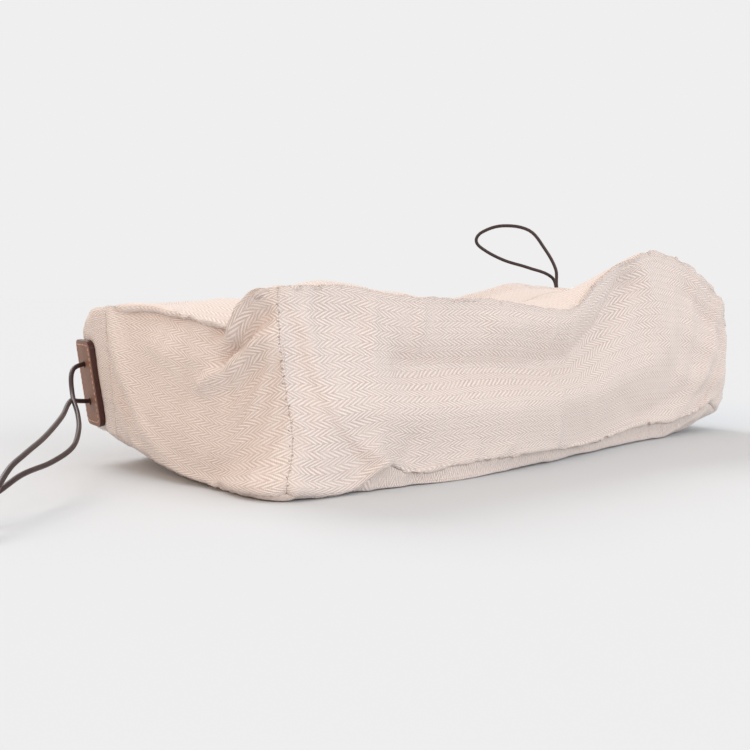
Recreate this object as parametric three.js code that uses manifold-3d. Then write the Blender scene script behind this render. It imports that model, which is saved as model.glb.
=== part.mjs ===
// A drawstring shoe bag lying on its side, in millimetres, +Z up.
// The long base panel faces -Y and the mouth faces +Y. One closed ring of round leather cord runs in the
// mouth's hem and comes out as a loop through the two holes of a leather patch at each end.

import * as THREE from "three";
import { mergeVertices } from "three/addons/utils/BufferGeometryUtils.js";
import Module from "manifold-3d";

const wasm = await Module();
wasm.setup();

// Driving dimensions
const halfLength = 200;
const baseY = -68;
const mouthY = 92;
const wallHeight = 88;
const clothThickness = 2;
const gap = 0.3;

const hinge = { y: 2, slot: 1.2 };
const hem = { width: 22, thickness: 6, wall: 1.3, bottom: 18, top: 80 };
const patch = { width: 27, height: 46, centreZ: 44, corner: 5, thickness: 2.4, turn: 16 };
const cord = { diameter: 2.5, sides: 8, upperHoleZ: 54, lowerHoleZ: 34, holeDiameter: 3.5 };
const thread = { inset: 2.4, width: 0.9, height: 0.5 };
const binding = { width: 7, thickness: 1, offset: 3.4 };
const baseBulge = 24;
const trimY = 81.5;

const colours = { canvas: 0xe1d4c8, leather: 0x8a6048, cord: 0x3a2f2c, thread: 0xc89a82, tape: 0xe8ddd0 };

// Outline formulas shared by the panels
const bump = (t, centre, width) => Math.exp(-(((t - centre) / width) ** 2));
const ease = (t, start, end) => THREE.MathUtils.smoothstep(t, start, end);

function upperSurface(x, y) {
  const frontCrest = 12 * bump(x, -165, 42) - 4 * bump(x, -5, 45) + 31 * bump(x, 108, 50);
  const rightBackSwell = 8 * bump(x, 165, 50) * bump(y, 70, 50);
  const leftMouthDrop = 3 * bump(x, -halfLength, 60) * bump(y, mouthY, 50);
  return wallHeight + frontCrest * bump(y, baseY, 70) + rightBackSwell - leftMouthDrop;
}

function lowerSurface(x, y) {
  const leftMouthLift = 8 * bump(x, -halfLength, 35) * ease(y, -20, mouthY);
  const rightFrontLift = 13 * bump(x, halfLength, 40) * bump(y, baseY, 60);
  return leftMouthLift + rightFrontLift;
}

function frontSurface(x, z) {
  const alongLength = (1 - 0.6 * Math.exp(-(x + halfLength) / 26)) * (1 - ease(x, -60, 125));
  return baseY - baseBulge * alongLength * (1 - 0.42 * ease(z, 20, wallHeight));
}

const trimSlope = Math.tan(THREE.MathUtils.degToRad(patch.turn));

function endSurface(y) {
  const kinkY = 66;
  const swell = (at) => halfLength + 5 * Math.sin((Math.PI * Math.max(at - baseY, 0)) / 160);
  return y < kinkY ? swell(y) : swell(kinkY) - trimSlope * (y - kinkY);
}

const lipHalfWidth = (y) => endSurface(y) - clothThickness - 0.8 - 9 * ease(y, 30, 60);

const group = new THREE.Group();

function addMesh(name, geometry, colour, parent = group) {
  const roughness = colour === colours.cord || colour === colours.leather ? 0.55 : 0.95;
  const mesh = new THREE.Mesh(geometry, new THREE.MeshStandardMaterial({ color: colour, roughness, metalness: 0 }));
  mesh.name = name;
  parent.add(mesh);
  return mesh;
}

// A sheet of cloth: a flat subdivided box whose points are moved by place(u, v, w),
// where u and v run from 0 to 1 and w is the depth below the outer face.
function clothSheet(columns, rows, place, thickness = clothThickness) {
  const geometry = new THREE.BoxGeometry(1, 1, thickness, columns, rows, 1);
  const position = geometry.attributes.position;
  for (let i = 0; i < position.count; i++) {
    const depth = thickness / 2 - position.getZ(i);
    position.setXYZ(i, ...place(position.getX(i) + 0.5, position.getY(i) + 0.5, depth));
  }
  return geometry;
}

const mix = THREE.MathUtils.lerp;

// The panels
function addBasePanel() {
  const edge = clothThickness + gap;
  addMesh("base_panel", clothSheet(32, 6, (u, v, depth) => {
    const x = mix(-halfLength, halfLength, u);
    const bottom = lowerSurface(x, frontSurface(x, 0)) + edge;
    const top = upperSurface(x, frontSurface(x, wallHeight)) - edge;
    const z = mix(bottom, top, v);
    return [x, frontSurface(x, z) + depth, z];
  }), colours.canvas);
}

function addEndPanels() {
  const back = trimY - hem.width / 2 - 2.1;
  const edge = clothThickness + gap;
  const place = (side) => (along, up, depth) => {
    const x = side * halfLength;
    const roughZ = up * wallHeight;
    const y = mix(frontSurface(x, roughZ) + edge + 0.4, back, along);
    const bottom = lowerSurface(x, y) + edge + 0.4;
    const top = upperSurface(x, y) - edge - 0.4;
    return [side * (endSurface(y) - depth), y, mix(bottom, top, up)];
  };
  const right = place(1);
  const left = place(-1);
  addMesh("end_panel_right", clothSheet(14, 4, right), colours.canvas);
  addMesh("end_panel_left", clothSheet(4, 14, (u, v, depth) => left(v, u, depth)), colours.canvas);
}

function addSidePanels() {
  const back = hinge.y - hinge.slot / 2;
  const halfWidth = (y) => endSurface(Math.max(y, baseY));
  addMesh("side_panel_upper", clothSheet(32, 8, (u, v, depth) => {
    const x = mix(-1, 1, u) * halfWidth(baseY);
    const y = mix(frontSurface(x, wallHeight), back, v);
    const spread = x / halfWidth(baseY) * halfWidth(y);
    return [spread, y, upperSurface(x, y) - depth];
  }), colours.canvas);
  addMesh("side_panel_lower", clothSheet(8, 32, (u, v, depth) => {
    const x = mix(-1, 1, v) * halfWidth(baseY);
    const y = mix(frontSurface(x, 0), back, u);
    const spread = x / halfWidth(baseY) * halfWidth(y);
    return [spread, y, lowerSurface(x, y) + depth];
  }), colours.canvas);
}

// The parts of the side panels beyond the fold line, which draw together when the mouth closes
function addLips() {
  const front = hinge.y + hinge.slot / 2;
  const back = mouthY - hem.width - gap;
  addMesh("mouth_lip_upper", clothSheet(28, 5, (u, v, depth) => {
    const y = mix(front, back, v);
    const x = mix(-1, 1, u) * lipHalfWidth(y);
    return [x, y, upperSurface(x, y) - depth];
  }), colours.canvas);
  addMesh("mouth_lip_lower", clothSheet(5, 28, (u, v, depth) => {
    const y = mix(front, back, u);
    const x = mix(-1, 1, v) * lipHalfWidth(y);
    return [x, y, lowerSurface(x, y) + depth];
  }), colours.canvas);
}

// The hems, folded bands that hold the cord
function hemShape() {
  const halfWidth = hem.width / 2;
  const halfThickness = hem.thickness / 2;
  const shape = rectangle(halfWidth, halfThickness);
  shape.holes.push(rectangle(halfWidth - hem.wall * 1.4, halfThickness - hem.wall));
  return shape;
}

function rectangle(halfWidth, halfHeight) {
  return new THREE.Shape([
    new THREE.Vector2(-halfWidth, -halfHeight), new THREE.Vector2(halfWidth, -halfHeight),
    new THREE.Vector2(halfWidth, halfHeight), new THREE.Vector2(-halfWidth, halfHeight),
  ]);
}

const lipHemHalfLength = 184;
const hemCentreY = mouthY - hem.width / 2;
const hemCentre = {
  upper: (x) => upperSurface(x, hemCentreY) - hem.thickness / 2,
  lower: (x) => lowerSurface(x, hemCentreY) + hem.thickness / 2,
};

function addLipHem(name, centreZ) {
  const geometry = new THREE.ExtrudeGeometry(hemShape(), {
    depth: 2 * lipHemHalfLength, steps: 28, bevelEnabled: false,
  });
  geometry.translate(0, 0, -lipHemHalfLength);
  geometry.applyMatrix4(new THREE.Matrix4().set(0, 0, 1, 0, 1, 0, 0, hemCentreY, 0, 1, 0, 0, 0, 0, 0, 1));
  const position = geometry.attributes.position;
  for (let i = 0; i < position.count; i++) {
    position.setZ(i, position.getZ(i) + centreZ(position.getX(i)));
  }
  addMesh(name, geometry, colours.canvas);
}

// The cord, drawn as straight-sided tubes along curves
function cordTube(points, steps) {
  const path = new THREE.CatmullRomCurve3(points.map((point) => new THREE.Vector3(...point)), false, "centripetal");
  const section = new THREE.Shape(new THREE.EllipseCurve(0, 0, cord.diameter / 2, cord.diameter / 2)
    .getPoints(cord.sides).slice(0, cord.sides));
  return new THREE.ExtrudeGeometry(section, { extrudePath: path, steps, bevelEnabled: false });
}

function addCordRun(name, centreZ) {
  const halfRun = lipHemHalfLength - 2;
  const points = [];
  for (let i = 0; i <= 14; i++) {
    const x = mix(-halfRun, halfRun, i / 14);
    points.push([x, hemCentreY, centreZ(x)]);
  }
  addMesh(name, cordTube(points, 56), colours.cord);
}

// Solids for the cuts
function toSolid(geometry) {
  const bare = geometry.clone();
  bare.deleteAttribute("normal");
  bare.deleteAttribute("uv");
  const merged = mergeVertices(bare, 1e-4);
  return new wasm.Manifold(new wasm.Mesh({
    numProp: 3,
    vertProperties: new Float32Array(merged.attributes.position.array),
    triVerts: new Uint32Array(merged.index.array),
  }));
}

function toGeometry(solid) {
  const mesh = solid.getMesh();
  const geometry = new THREE.BufferGeometry();
  geometry.setAttribute("position", new THREE.BufferAttribute(new Float32Array(mesh.vertProperties), 3));
  geometry.setIndex(new THREE.BufferAttribute(new Uint32Array(mesh.triVerts), 1));
  return geometry;
}

function cutHoles(geometry, heights) {
  let solid = toSolid(geometry);
  for (const z of heights) {
    const drill = new THREE.CylinderGeometry(cord.holeDiameter / 2, cord.holeDiameter / 2, 2 * hem.wall, 16);
    drill.rotateZ(Math.PI / 2).translate(0, 0, z);
    solid = solid.subtract(toSolid(drill));
  }
  return toGeometry(solid);
}

// The trim of one end, built with +X outward and the outer face of the cloth at X = 0
function addEndTrim(side) {
  const label = side > 0 ? "right" : "left";
  const trim = new THREE.Group();
  trim.position.set(side * endSurface(trimY), trimY, 0);
  trim.rotation.z = side > 0 ? THREE.MathUtils.degToRad(patch.turn) : THREE.MathUtils.degToRad(180 - patch.turn);
  group.add(trim);
  addEndHem(label, trim);
  addPatch(label, trim);
  addCordRises(label, trim);
}

function addEndHem(label, trim) {
  const band = new THREE.ExtrudeGeometry(hemShape(), { depth: hem.top - hem.bottom, steps: 1, bevelEnabled: false });
  band.rotateZ(Math.PI / 2).translate(-hem.thickness / 2, 0, hem.bottom);
  addMesh(`mouth_hem_${label}`, cutHoles(band, [cord.upperHoleZ, cord.lowerHoleZ]), colours.canvas, trim);
}

function roundedOutline(width, height, radius) {
  const shape = new THREE.Shape();
  const [x, y] = [width / 2 - radius, height / 2 - radius];
  shape.absarc(x, y, radius, 0, Math.PI / 2);
  shape.absarc(-x, y, radius, Math.PI / 2, Math.PI);
  shape.absarc(-x, -y, radius, Math.PI, 1.5 * Math.PI);
  shape.absarc(x, -y, radius, 1.5 * Math.PI, 2 * Math.PI);
  return shape;
}

function addPatch(label, trim) {
  const outline = roundedOutline(patch.width, patch.height, patch.corner);
  for (const z of [cord.upperHoleZ, cord.lowerHoleZ]) {
    outline.holes.push(new THREE.Path().absarc(0, z - patch.centreZ, cord.holeDiameter / 2, 0, 2 * Math.PI, true));
  }
  const leather = new THREE.ExtrudeGeometry(outline, { depth: patch.thickness, bevelEnabled: false, curveSegments: 6 });
  addMesh(`leather_patch_${label}`, standUp(leather, gap), colours.leather, trim);

  const outer = 2 * thread.inset;
  const inner = outer + 2 * thread.width;
  const ring = roundedOutline(patch.width - outer, patch.height - outer, patch.corner - thread.inset);
  ring.holes.push(roundedOutline(patch.width - inner, patch.height - inner, patch.corner - inner / 2));
  const stitches = new THREE.ExtrudeGeometry(ring, { depth: thread.height, bevelEnabled: false, curveSegments: 4 });
  addMesh(`patch_stitching_${label}`, standUp(stitches, 2 * gap + patch.thickness), colours.thread, trim);
}

// Turns a flat outline so that its thickness points outward and its height points up
function standUp(geometry, offset) {
  return geometry.rotateX(Math.PI / 2).rotateZ(Math.PI / 2).translate(offset, 0, patch.centreZ);
}

function addCordRises(label, trim) {
  const clearance = cord.diameter / 2 + 0.5;
  const spans = {
    upper: [cord.upperHoleZ + clearance, hem.top - 1],
    lower: [hem.bottom + 1, cord.lowerHoleZ - clearance],
  };
  for (const [level, [low, high]] of Object.entries(spans)) {
    const rise = new THREE.CylinderGeometry(cord.diameter / 2, cord.diameter / 2, high - low, cord.sides);
    rise.rotateX(Math.PI / 2).translate(-hem.thickness / 2, 0, (low + high) / 2);
    addMesh(`cord_rise_${label}_${level}`, rise, colours.cord, trim);
  }
}

// The free loops. Each starts in the upper hole of its patch and ends in the lower one.
function holePoint(side, height, outward) {
  const angle = THREE.MathUtils.degToRad(side > 0 ? patch.turn : 180 - patch.turn);
  return [side * endSurface(trimY) + outward * Math.cos(angle), trimY + outward * Math.sin(angle), height];
}

const leftLoop = [
  holePoint(-1, cord.upperHoleZ, -0.9), holePoint(-1, cord.upperHoleZ, 4),
  [-212, 78.5, 51], [-219, 67, 40], [-227, 48, 31], [-237, 30, 25.5], [-250, 13, 20], [-272, -7, 17],
  [-296, -26, 16], [-312, -37, 12], [-330, -43, 5], [-346, -50, 1.6], [-354, -61, 1.6], [-349, -72, 1.6],
  [-337, -72, 4], [-323, -55, 13], [-308, -39, 21], [-295, -27, 24.5], [-274, -5, 28], [-248, 26, 33],
  [-230, 52, 36], [-218, 69, 36.5], [-211, 77.5, 35],
  holePoint(-1, cord.lowerHoleZ, 4), holePoint(-1, cord.lowerHoleZ, -0.9),
];

const rightLoop = [
  holePoint(1, cord.upperHoleZ, -0.9), holePoint(1, cord.upperHoleZ, 4),
  [208, 84, 61], [209, 84, 76], [205.8, 86, 97], [205.3, 86.6, 110], [198.8, 92.6, 126], [190, 100.5, 139.5],
  [176, 115, 143], [165, 126.5, 138], [163, 130, 131.5], [168, 126.5, 125], [180, 116.5, 117],
  [193, 104, 111.5], [207, 91.5, 104], [210.5, 89.5, 92], [213, 90, 70], [212, 87.5, 50], [208, 85, 38],
  holePoint(1, cord.lowerHoleZ, 4), holePoint(1, cord.lowerHoleZ, -0.9),
];

// The tape that binds the raw edges inside, one strip for each seam. It stands out of its corner at 45 degrees.
function addBinding(name, axis, length, centre, tiltSign) {
  const tape = new THREE.BoxGeometry(length, binding.width, binding.thickness);
  tape.rotateX(tiltSign * Math.PI / 4);
  if (axis === "y") tape.rotateZ(Math.PI / 2);
  if (axis === "z") tape.rotateY(-Math.PI / 2);
  addMesh(name, tape, colours.tape).position.set(...centre);
}

function addBindings() {
  const reach = (binding.offset + binding.width / 2) * Math.SQRT1_2;
  const frontY = baseY + clothThickness + reach;
  const endX = halfLength - clothThickness - reach;
  const topZ = wallHeight - 5 - clothThickness - reach;
  const bottomZ = clothThickness + reach;
  const sideStart = frontY + reach + 2;
  const sideLength = hinge.y - 2 - sideStart;
  const sideY = sideStart + sideLength / 2;
  const rightLift = 13;
  addBinding("seam_binding_base_upper", "x", 2 * endX - 16, [0, frontY, topZ], -1);
  addBinding("seam_binding_base_lower", "x", 330, [-22, frontY, bottomZ], 1);
  for (const side of [-1, 1]) {
    const label = side > 0 ? "right" : "left";
    const lift = side > 0 ? rightLift : 0;
    const cornerLength = topZ - bottomZ - lift - 16;
    const cornerZ = (topZ + bottomZ + lift) / 2;
    addBinding(`seam_binding_base_${label}`, "z", cornerLength, [side * endX, frontY, cornerZ], side);
    addBinding(`seam_binding_upper_${label}`, "y", sideLength, [side * endX, sideY, topZ], -side);
    addBinding(`seam_binding_lower_${label}`, "y", sideLength, [side * endX, sideY, bottomZ + lift], side);
  }
}

addBasePanel();
addEndPanels();
addSidePanels();
addLips();
addLipHem("mouth_hem_upper", hemCentre.upper);
addLipHem("mouth_hem_lower", hemCentre.lower);
addCordRun("cord_run_upper", hemCentre.upper);
addCordRun("cord_run_lower", hemCentre.lower);
addEndTrim(-1);
addEndTrim(1);
addMesh("cord_loop_left", cordTube(leftLoop, 78), colours.cord);
addMesh("cord_loop_right", cordTube(rightLoop, 72), colours.cord);
addBindings();

export default group;
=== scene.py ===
import math

import bmesh
import bpy
from mathutils import Matrix, Vector, geometry, noise
from mathutils.bvhtree import BVHTree
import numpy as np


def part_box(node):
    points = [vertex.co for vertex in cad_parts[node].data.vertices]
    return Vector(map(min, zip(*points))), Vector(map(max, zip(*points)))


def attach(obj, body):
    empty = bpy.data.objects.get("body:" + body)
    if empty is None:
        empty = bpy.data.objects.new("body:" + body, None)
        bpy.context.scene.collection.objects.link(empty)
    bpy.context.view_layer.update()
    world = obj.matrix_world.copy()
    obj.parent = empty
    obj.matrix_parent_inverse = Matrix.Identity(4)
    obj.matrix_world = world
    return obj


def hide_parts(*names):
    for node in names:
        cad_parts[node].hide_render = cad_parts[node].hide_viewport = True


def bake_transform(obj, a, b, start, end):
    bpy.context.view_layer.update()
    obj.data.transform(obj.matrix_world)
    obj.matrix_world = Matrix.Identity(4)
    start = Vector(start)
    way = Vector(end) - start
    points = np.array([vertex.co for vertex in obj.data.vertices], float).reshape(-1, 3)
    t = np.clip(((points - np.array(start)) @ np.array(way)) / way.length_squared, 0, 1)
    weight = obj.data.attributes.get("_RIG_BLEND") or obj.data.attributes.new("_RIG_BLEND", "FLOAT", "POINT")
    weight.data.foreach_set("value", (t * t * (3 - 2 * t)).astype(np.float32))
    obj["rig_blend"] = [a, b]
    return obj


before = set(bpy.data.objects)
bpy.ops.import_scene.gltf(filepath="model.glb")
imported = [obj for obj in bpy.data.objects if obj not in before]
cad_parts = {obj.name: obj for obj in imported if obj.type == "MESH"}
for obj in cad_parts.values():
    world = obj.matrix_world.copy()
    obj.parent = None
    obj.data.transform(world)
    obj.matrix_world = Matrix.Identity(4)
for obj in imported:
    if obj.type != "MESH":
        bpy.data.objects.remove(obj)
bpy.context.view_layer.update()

mm = 0.001
scene = bpy.context.scene


# small helpers

def mix(a, b, t):
    return a + (b - a) * t


def ease(t, start, end):
    s = min(max((t - start) / (end - start), 0.0), 1.0)
    return s * s * (3 - 2 * s)


def bump(t, centre, width):
    return math.exp(-(((t - centre) / width) ** 2))


def addObject(name, mesh):
    piece = bpy.data.objects.new(name, mesh)
    scene.collection.objects.link(piece)
    return piece


def meshFrom(bm, name):
    mesh = bpy.data.meshes.new(name)
    bm.to_mesh(mesh)
    bm.free()
    return mesh


def shadeSmooth(piece):
    piece.data.polygons.foreach_set("use_smooth", [True] * len(piece.data.polygons))


def stand(piece, body, slot, *nodes):
    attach(piece, body)
    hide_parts(*nodes)


# camera

cameraSetup = {
    "place": (-0.5307, -0.4795, 0.089), "heading": -43.9, "down": 3.72, "lens": 57.6, "film": 36,
}


def makeCamera():
    data = bpy.data.cameras.new("camera")
    data.lens = cameraSetup["lens"]
    data.sensor_width = cameraSetup["film"]
    data.clip_start = 0.01
    camera = bpy.data.objects.new("camera", data)
    camera.location = cameraSetup["place"]
    tilt = math.radians(90 - cameraSetup["down"])
    camera.rotation_euler = (tilt, 0, math.radians(cameraSetup["heading"]))
    scene.collection.objects.link(camera)
    scene.camera = camera


makeCamera()
print("camera ready")


# shader groups

def newGroup(name, inputs, outputs):
    tree = bpy.data.node_groups.new(name, "ShaderNodeTree")
    for label, kind, value in inputs:
        socket = tree.interface.new_socket(label, in_out="INPUT", socket_type="NodeSocket" + kind)
        if value is not None:
            socket.default_value = value
    for label, kind in outputs:
        tree.interface.new_socket(label, in_out="OUTPUT", socket_type="NodeSocket" + kind)
    return tree, tree.nodes.new("NodeGroupInput"), tree.nodes.new("NodeGroupOutput")


def mathNode(tree, operation, a, b=None, c=None):
    node = tree.nodes.new("ShaderNodeMath")
    node.operation = operation
    for socket, value in zip(node.inputs, (a, b, c)):
        if value is None:
            continue
        if isinstance(value, (int, float)):
            socket.default_value = value
        else:
            tree.links.new(value, socket)
    return node.outputs[0]


def noiseNode(tree, vector, scale, detail):
    node = tree.nodes.new("ShaderNodeTexNoise")
    node.inputs["Scale"].default_value = scale
    node.inputs["Detail"].default_value = detail
    tree.links.new(vector, node.inputs["Vector"])
    return node.outputs["Fac"]


def mixColour(tree, factor, a, b):
    node = tree.nodes.new("ShaderNodeMix")
    node.data_type = "RGBA"
    for socket, value in ((node.inputs["Factor"], factor), (node.inputs[6], a), (node.inputs[7], b)):
        if isinstance(value, (tuple, float, int)):
            socket.default_value = value
        else:
            tree.links.new(value, socket)
    return node.outputs[2]


def splitUV(tree, vector, scale):
    scaled = tree.nodes.new("ShaderNodeVectorMath")
    scaled.operation = "SCALE"
    scaled.inputs["Scale"].default_value = scale
    tree.links.new(vector, scaled.inputs[0])
    parts = tree.nodes.new("ShaderNodeSeparateXYZ")
    tree.links.new(scaled.outputs[0], parts.inputs[0])
    return parts.outputs["X"], parts.outputs["Y"], scaled.outputs[0]


# herringbone: diagonal ribs that turn back at each row, in millimetres of cloth
weave = {
    "row": 2.9, "along": 3.3, "across": 1.4, "wander": 0.5, "offset": 0.22, "jitter": 0.3, "yarn": 0.72,
    "yarnDepth": 0.10, "edgeDepth": 0.3, "worn": (0.3, 1.15), "speck": 0.7,
}


def makeHerringboneGroup():
    tree, given, out = newGroup(
        "herringbone", [("Flat", "Vector", None)], [("Height", "Float"), ("Tone", "Float")],
    )
    u, v, flat = splitUV(tree, given.outputs["Flat"], 1 / mm)
    drift = mathNode(tree, "SUBTRACT", noiseNode(tree, flat, 0.11, 2), 0.5)
    v = mathNode(tree, "MULTIPLY_ADD", drift, weave["wander"], v)
    turned = mathNode(tree, "PINGPONG", v, weave["row"])
    phase = mathNode(tree, "DIVIDE", u, weave["along"])
    phase = mathNode(tree, "ADD", phase, mathNode(tree, "DIVIDE", turned, weave["across"]))
    rowNumber = mathNode(tree, "FLOOR", mathNode(tree, "DIVIDE", v, weave["row"]))
    oddRow = mathNode(tree, "PINGPONG", rowNumber, 1.0)
    phase = mathNode(tree, "MULTIPLY_ADD", oddRow, weave["offset"], phase)
    jitter = mathNode(tree, "SUBTRACT", noiseNode(tree, flat, 0.9, 2), 0.5)
    phase = mathNode(tree, "MULTIPLY_ADD", jitter, weave["jitter"], phase)
    rib = mathNode(tree, "SINE", mathNode(tree, "MULTIPLY", phase, 2 * math.pi))
    rib = mathNode(tree, "MULTIPLY_ADD", rib, 0.5, 0.5)
    edge = mathNode(tree, "PINGPONG", mathNode(tree, "DIVIDE", turned, weave["row"]), 0.5)
    rowEdge = mathNode(tree, "MINIMUM", mathNode(tree, "MULTIPLY", edge, 7.0), 1.0)
    rowEdge = mathNode(tree, "MULTIPLY_ADD", rowEdge, weave["edgeDepth"], 1 - weave["edgeDepth"])
    yarn = mathNode(tree, "SINE", mathNode(tree, "MULTIPLY", u, 2 * math.pi / weave["yarn"]))
    height = mathNode(tree, "MULTIPLY_ADD", yarn, weave["yarnDepth"], rib)
    height = mathNode(tree, "MULTIPLY", height, rowEdge)
    # the ribs stand out in some places and are rubbed flat in others
    worn = mathNode(tree, "MULTIPLY_ADD", noiseNode(tree, flat, 0.10, 3), 2.2, -0.3)
    worn = mathNode(tree, "MAXIMUM", mathNode(tree, "MINIMUM", worn, weave["worn"][1]), weave["worn"][0])
    tone = mathNode(tree, "MULTIPLY_ADD", mathNode(tree, "SUBTRACT", height, 0.55), worn, 0.55)
    speck = mathNode(tree, "SUBTRACT", noiseNode(tree, flat, 1.7, 3), 0.5)
    tone = mathNode(tree, "MULTIPLY_ADD", speck, weave["speck"], tone)
    tree.links.new(height, out.inputs["Height"])
    tree.links.new(tone, out.inputs["Tone"])
    return tree


def makeBlotchGroup():
    # slow changes of tone, for cloth, leather and tape
    tree, given, out = newGroup(
        "blotches", [("Place", "Vector", None), ("Size", "Float", 20.0), ("Strength", "Float", 0.2)],
        [("Shift", "Float")],
    )
    node = tree.nodes.new("ShaderNodeTexNoise")
    node.inputs["Detail"].default_value = 4
    tree.links.new(given.outputs["Place"], node.inputs["Vector"])
    tree.links.new(given.outputs["Size"], node.inputs["Scale"])
    centred = mathNode(tree, "SUBTRACT", node.outputs["Fac"], 0.5)
    shift = mathNode(tree, "MULTIPLY_ADD", centred, given.outputs["Strength"], 0.5)
    tree.links.new(shift, out.inputs["Shift"])
    return tree


herringbone = makeHerringboneGroup()
blotches = makeBlotchGroup()


def newMaterial(name, roughness, sheen=0.0, specular=0.3):
    material = bpy.data.materials.new(name)
    material.use_nodes = True
    tree = material.node_tree
    shader = tree.nodes["Principled BSDF"]
    shader.inputs["Roughness"].default_value = roughness
    shader.inputs["Specular IOR Level"].default_value = specular
    shader.inputs["Sheen Weight"].default_value = sheen
    shader.inputs["Sheen Roughness"].default_value = 0.5
    coordinates = tree.nodes.new("ShaderNodeTexCoord")
    return material, tree, shader, coordinates


def placeGroup(tree, group, **values):
    node = tree.nodes.new("ShaderNodeGroup")
    node.node_tree = group
    for label, value in values.items():
        if isinstance(value, (int, float)):
            node.inputs[label].default_value = value
        else:
            tree.links.new(value, node.inputs[label])
    return node


def addBump(tree, shader, height, distance, strength=1.0, under=None):
    node = tree.nodes.new("ShaderNodeBump")
    node.inputs["Distance"].default_value = distance
    node.inputs["Strength"].default_value = strength
    tree.links.new(height, node.inputs["Height"])
    if under is not None:
        tree.links.new(under, node.inputs["Normal"])
    tree.links.new(node.outputs[0], shader.inputs["Normal"])
    return node.outputs[0]


canvasLook = {
    "rib": (0.89, 0.815, 0.785, 1), "groove": (0.555, 0.46, 0.415, 1), "warm": (0.83, 0.70, 0.61, 1),
    "depth": 0.00022, "fuzz": 0.00005, "fuzzScale": 2600, "warmth": 0.25, "rough": 0.92, "sheen": 0.12,
}


def makeCanvas(name):
    look = canvasLook
    material, tree, shader, coordinates = newMaterial(name, look["rough"], look["sheen"], specular=0.15)
    flat, place = coordinates.outputs["UV"], coordinates.outputs["Object"]
    ribs = placeGroup(tree, herringbone, Flat=flat)
    tone = placeGroup(tree, blotches, Place=place, Size=14.0, Strength=0.9)
    colour = mixColour(tree, ribs.outputs["Tone"], look["groove"], look["rib"])
    warmth = mathNode(tree, "MULTIPLY", tone.outputs["Shift"], look["warmth"])
    colour = mixColour(tree, warmth, colour, look["warm"])
    tree.links.new(colour, shader.inputs["Base Color"])
    woven = addBump(tree, shader, ribs.outputs["Height"], look["depth"])
    addBump(tree, shader, noiseNode(tree, place, look["fuzzScale"], 2), look["fuzz"], under=woven)
    return material


leatherLook = {
    "face": (0.245, 0.112, 0.060, 1), "dark": (0.135, 0.055, 0.030, 1),
    "grain": 0.00012, "grainScale": 1500, "rough": 0.48,
}


def makeLeather():
    look = leatherLook
    material, tree, shader, coordinates = newMaterial("patchLeather", look["rough"], specular=0.35)
    place = coordinates.outputs["Object"]
    tone = placeGroup(tree, blotches, Place=place, Size=90.0, Strength=1.3)
    colour = mixColour(tree, tone.outputs["Shift"], look["dark"], look["face"])
    tree.links.new(colour, shader.inputs["Base Color"])
    cells = tree.nodes.new("ShaderNodeTexVoronoi")
    cells.feature = "DISTANCE_TO_EDGE"
    cells.inputs["Scale"].default_value = look["grainScale"]
    tree.links.new(place, cells.inputs["Vector"])
    grain = mathNode(tree, "MINIMUM", mathNode(tree, "MULTIPLY", cells.outputs["Distance"], 5.0), 1.0)
    addBump(tree, shader, grain, look["grain"], 0.5)
    return material


# painted edge, cord, threads and tape: two close colours and a fine grain
plainLooks = {
    "patchEdge": {"colours": [(0.045, 0.014, 0.010, 1), (0.075, 0.024, 0.017, 1)], "rough": 0.38,
                  "scale": 900, "depth": 0.00006, "sheen": 0.0},
    "cordLeather": {"colours": [(0.030, 0.020, 0.020, 1), (0.060, 0.034, 0.032, 1)], "rough": 0.40,
                    "scale": 1400, "depth": 0.00006, "sheen": 0.0},
    "patchThread": {"colours": [(0.58, 0.34, 0.25, 1), (0.70, 0.46, 0.36, 1)], "rough": 0.7,
                    "scale": 2500, "depth": 0.00006, "sheen": 0.2},
    # the same thread as the hem's, painted dark for the shade in the stitch holes of the upright corner seams
    "shadedCornerThread": {"colours": [(0.31, 0.23, 0.19, 1), (0.42, 0.33, 0.28, 1)], "rough": 0.85,
                   "scale": 2500, "depth": 0.00005, "sheen": 0.1},
    "hemThread": {"colours": [(0.80, 0.70, 0.63, 1), (0.66, 0.55, 0.48, 1)], "rough": 0.85,
                  "scale": 2500, "depth": 0.00005, "sheen": 0.1},
    "bindingTape": {"colours": [(0.80, 0.74, 0.66, 1), (0.72, 0.64, 0.55, 1)], "rough": 0.9,
                    "scale": 3000, "depth": 0.00008, "sheen": 0.1},
}


def makePlain(name):
    look = plainLooks[name]
    material, tree, shader, coordinates = newMaterial(name, look["rough"], look["sheen"])
    place = coordinates.outputs["Object"]
    tone = placeGroup(tree, blotches, Place=place, Size=look["scale"] / 12, Strength=1.2)
    colour = mixColour(tree, tone.outputs["Shift"], *look["colours"])
    tree.links.new(colour, shader.inputs["Base Color"])
    addBump(tree, shader, noiseNode(tree, place, look["scale"], 3), look["depth"])
    return material


canvas = makeCanvas("canvas")
leather = makeLeather()
plain = {name: makePlain(name) for name in plainLooks}
print("materials ready")


# the ends of the bag, where the patches and the holes are

trim = {
    "y": 81.5 * mm, "turn": math.radians(16), "hemHalfWidth": 11 * mm,
    "upperHole": 54 * mm, "lowerHole": 34 * mm,
    "lean": math.radians(8), "leanFrom": 44 * mm,
}


def trimMatrix(side):
    low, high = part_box("mouth_hem_right" if side > 0 else "mouth_hem_left")
    reach = max(abs(low.x), abs(high.x))
    x = reach - math.sin(trim["turn"]) * trim["hemHalfWidth"]
    angle = trim["turn"] if side > 0 else math.pi - trim["turn"]
    return Matrix.Translation((side * x, trim["y"], 0)) @ Matrix.Rotation(angle, 4, "Z")


def holePoint(side, height, outward):
    return trimMatrix(side) @ Vector((outward, 0, height))


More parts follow.
